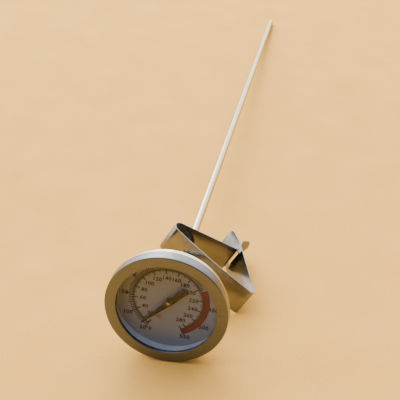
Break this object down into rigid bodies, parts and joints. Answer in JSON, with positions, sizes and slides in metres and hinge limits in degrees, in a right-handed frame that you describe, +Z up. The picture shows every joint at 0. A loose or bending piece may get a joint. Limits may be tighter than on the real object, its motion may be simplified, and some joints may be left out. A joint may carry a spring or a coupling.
{
  "type": "dial probe thermometer",
  "caption": "Bimetal dial thermometer: round brushed steel head with a printed dial and pointer, a long thin probe stem and a folded spring clip for a pan's rim.",
  "frame": {"origin": "centre of the bounding box on the surface the thermometer lies on", "axes": "+Z up from the surface, +Y along the stem towards its tip, so the dial faces -Y; +X to the right of someone who reads the dial"},
  "size_m": [0.0586, 0.3928, 0.0522],
  "materials": {
    "brushed_stainless": "circular brushed face",
    "polished_stainless": "centreless ground and polished",
    "turned_stainless": "turned",
    "spring_steel": "bright rolled",
    "clear_glass": "polished flat",
    "white_gasket": "matte",
    "white_spacer": "satin",
    "painted_dial": "matte print on a pale ground",
    "dark_paint": "satin",
    "turned_brass": "turned",
    "drawn_steel": "drawn",
    "bimetal_strip": "rolled",
    "black_fibre": "matte"
  },
  "bodies": {
    "stem": {"stem_tube": "polished_stainless", "stem_tip": "polished_stainless", "coil_anchor": "turned_brass", "bimetal_coil": "bimetal_strip", "upper_guide": "turned_brass", "lower_guide": "turned_brass", "neck_bush": "turned_brass", "spring_washer": "drawn_steel", "case_washer": "black_fibre", "calibration_nut": "turned_stainless", "stem_ferrule": "turned_stainless"},
    "head": {"bezel_ring": "brushed_stainless", "glass_lens": "clear_glass", "lens_gasket": "white_gasket", "dial_spacer": "white_spacer", "dial_plate": "painted_dial", "case_cup": "brushed_stainless"},
    "pointer": {"pointer": "dark_paint", "pointer_hub": "turned_brass", "pointer_shaft": "drawn_steel", "coil_collar": "turned_brass"},
    "clip_back": {"clip_back": "spring_steel"},
    "clip_front": {"clip_front": "spring_steel"}
  },
  "joints": [
    {"name": "head_turn", "type": "hinge", "parent": "stem", "child": "head", "pos_m": [-0.00326, -0.19482, 0.02624], "axis": [0, -0.9981, 0.0624], "continuous": true},
    {"name": "pointer_turn", "type": "hinge", "parent": "stem", "child": "pointer", "pos_m": [-0.00326, -0.19482, 0.02624], "axis": [0, 0.9981, -0.0624], "range_deg": [-12, 292], "stiffness_Nm_per_rad": 0.00026, "deforming": ["bimetal_coil"]},
    {"name": "clip_slide", "type": "slide", "parent": "stem", "child": "clip_back", "axis": [0, 0.9981, -0.0624], "range_m": [-0.02, 0.3]},
    {"name": "clip_squeeze", "type": "hinge", "parent": "clip_back", "child": "clip_front", "pos_m": [-0.00982, -0.14492, 0.02721], "axis": [0.5284, 0.053, 0.8473], "range_deg": [0, 2], "stiffness_Nm_per_rad": 0.4, "springref_deg": -20.05}
  ]
}
